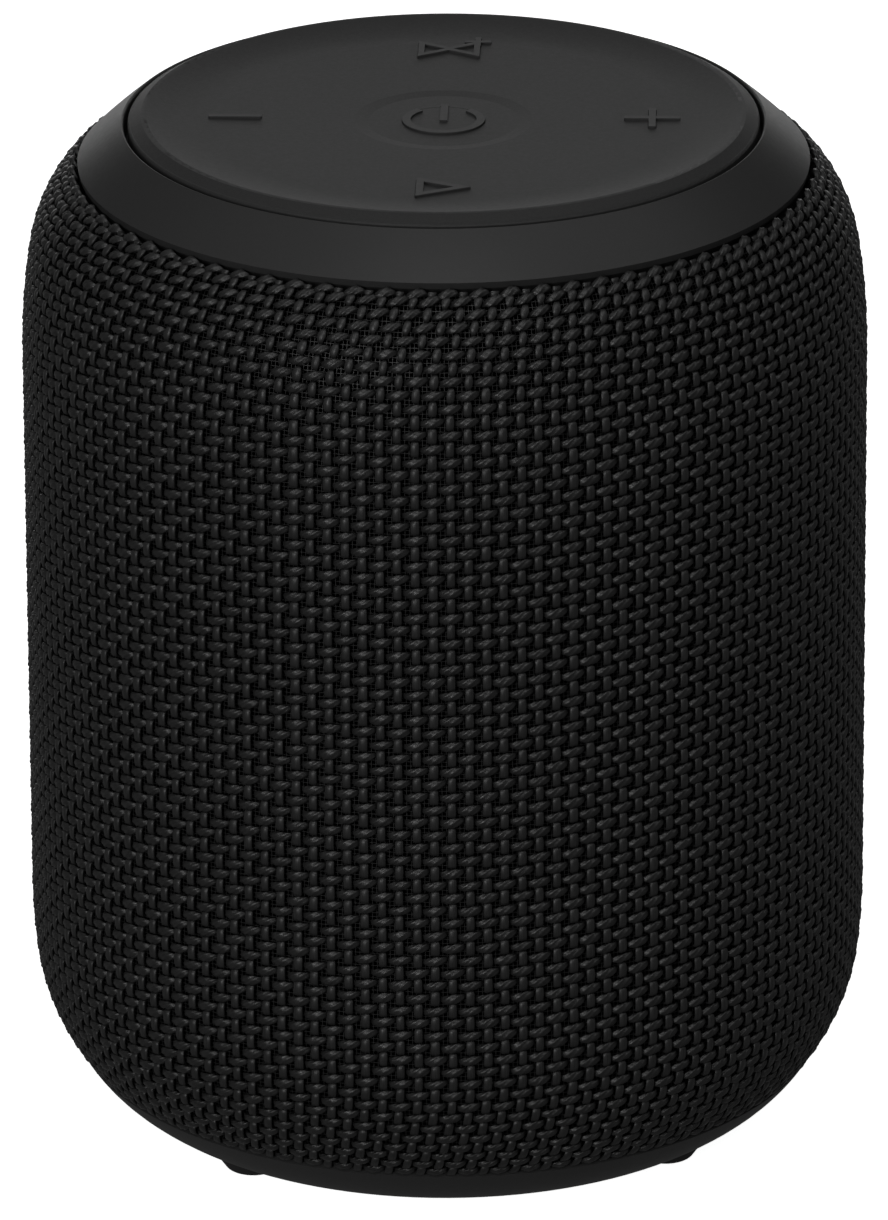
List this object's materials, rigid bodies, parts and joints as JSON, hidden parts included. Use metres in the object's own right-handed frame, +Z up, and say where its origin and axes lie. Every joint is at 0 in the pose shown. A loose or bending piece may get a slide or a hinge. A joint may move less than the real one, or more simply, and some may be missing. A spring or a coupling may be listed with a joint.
{
  "type": "portable bluetooth speaker",
  "caption": "Upright fabric-wrapped cylindrical speaker with a dished rubber control panel of raised keys, a sloped bezel, a flapped rear port and rubber feet; plays music wirelessly.",
  "frame": {"origin": "middle of the footprint, on the plane of the foot soles", "axes": "+Z up along the body axis; -Y is the front, +Y the side with the charging port"},
  "size_m": [0.0972, 0.098, 0.12],
  "materials": {
    "panel_rubber": "soft-touch matt",
    "bezel_plastic": "satin",
    "fabric": "plain weave of coarse twisted yarn",
    "base_plastic": "satin",
    "foot_rubber": "matt",
    "port_plastic": "satin",
    "port_rubber": "matt",
    "inner_plastic": "moulded",
    "foam": "foam",
    "circuit_board": "solder mask",
    "chip_plastic": "moulded",
    "plunger_plastic": "moulded",
    "socket_steel": "plated",
    "jack_plastic": "moulded",
    "cell_wrap": "shrink sleeve",
    "basket_steel": "pressed and painted",
    "magnet_iron": "plated",
    "cone_paper": "coated pulp",
    "surround_rubber": "matt",
    "radiator_plate": "moulded"
  },
  "bodies": {
    "speaker_body": {"amplifier_chip": "chip_plastic", "audio_jack": "jack_plastic", "base_cap": "base_plastic", "base_ring": "base_plastic", "base_screws": "socket_steel", "battery_cell_front": "cell_wrap", "battery_cell_rear": "cell_wrap", "battery_holder": "inner_plastic", "control_panel": "panel_rubber", "driver_basket_front": "basket_steel", "driver_basket_rear": "basket_steel", "driver_gasket_front": "foam", "driver_gasket_rear": "foam", "driver_magnet_front": "magnet_iron", "driver_magnet_rear": "magnet_iron", "driver_surround_front": "surround_rubber", "driver_surround_rear": "surround_rubber", "enclosure_body": "inner_plastic", "enclosure_lid": "inner_plastic", "fabric_sleeve": "fabric", "foot_front_left": "foot_rubber", "foot_front_right": "foot_rubber", "foot_rear_left": "foot_rubber", "foot_rear_right": "foot_rubber", "grille_shell": "inner_plastic", "key_board": "circuit_board", "key_board_screws": "socket_steel", "key_switches": "chip_plastic", "lower_housing": "inner_plastic", "main_board": "circuit_board", "panel_gasket": "foam", "port_board": "circuit_board", "port_frame": "port_plastic", "port_tether": "port_rubber", "radiator_frame_left": "radiator_plate", "radiator_frame_right": "radiator_plate", "radiator_surround_left": "surround_rubber", "radiator_surround_right": "surround_rubber", "radio_module": "chip_plastic", "top_bezel": "bezel_plastic", "usb_c_socket": "socket_steel"},
    "power_button": {"power_key": "panel_rubber", "power_plunger": "plunger_plastic"},
    "volume_down_button": {"volume_down_key": "panel_rubber", "volume_down_plunger": "plunger_plastic"},
    "volume_up_button": {"volume_up_key": "panel_rubber", "volume_up_plunger": "plunger_plastic"},
    "play_button": {"play_key": "panel_rubber", "play_plunger": "plunger_plastic"},
    "pairing_button": {"pairing_key": "panel_rubber", "pairing_plunger": "plunger_plastic"},
    "cone_front": {"driver_cone_front": "cone_paper", "dust_cap_front": "cone_paper"},
    "cone_rear": {"driver_cone_rear": "cone_paper", "dust_cap_rear": "cone_paper"},
    "radiator_left": {"radiator_diaphragm_left": "radiator_plate"},
    "radiator_right": {"radiator_diaphragm_right": "radiator_plate"},
    "port_flap": {"port_cover": "port_rubber"}
  },
  "joints": [
    {"name": "power_press", "type": "slide", "parent": "speaker_body", "child": "power_button", "axis": [0, 0, -1], "range_m": [0, 0.0004], "stiffness_N_per_m": 800, "springref_m": -0.0005},
    {"name": "volume_down_press", "type": "slide", "parent": "speaker_body", "child": "volume_down_button", "axis": [0, 0, -1], "range_m": [0, 0.0004], "stiffness_N_per_m": 800, "springref_m": -0.0005},
    {"name": "volume_up_press", "type": "slide", "parent": "speaker_body", "child": "volume_up_button", "axis": [0, 0, -1], "range_m": [0, 0.0004], "stiffness_N_per_m": 800, "springref_m": -0.0005},
    {"name": "play_press", "type": "slide", "parent": "speaker_body", "child": "play_button", "axis": [0, 0, -1], "range_m": [0, 0.0004], "stiffness_N_per_m": 800, "springref_m": -0.0005},
    {"name": "pairing_press", "type": "slide", "parent": "speaker_body", "child": "pairing_button", "axis": [0, 0, -1], "range_m": [0, 0.0004], "stiffness_N_per_m": 800, "springref_m": -0.0005},
    {"name": "cone_front_travel", "type": "slide", "parent": "speaker_body", "child": "cone_front", "axis": [0, -1, 0], "range_m": [-0.0015, 0.0015], "stiffness_N_per_m": 1600},
    {"name": "cone_rear_travel", "type": "slide", "parent": "speaker_body", "child": "cone_rear", "axis": [0, 1, 0], "range_m": [-0.0015, 0.0015], "stiffness_N_per_m": 1600},
    {"name": "radiator_left_travel", "type": "slide", "parent": "speaker_body", "child": "radiator_left", "axis": [-1, 0, 0], "range_m": [-0.0025, 0.0025], "stiffness_N_per_m": 700},
    {"name": "radiator_right_travel", "type": "slide", "parent": "speaker_body", "child": "radiator_right", "axis": [1, 0, 0], "range_m": [-0.0025, 0.0025], "stiffness_N_per_m": 700},
    {"name": "port_flap_hinge", "type": "hinge", "parent": "speaker_body", "child": "port_flap", "pos_m": [0, 0.0488, 0.02545], "axis": [-1, 0, 0], "range_deg": [0, 110]}
  ]
}
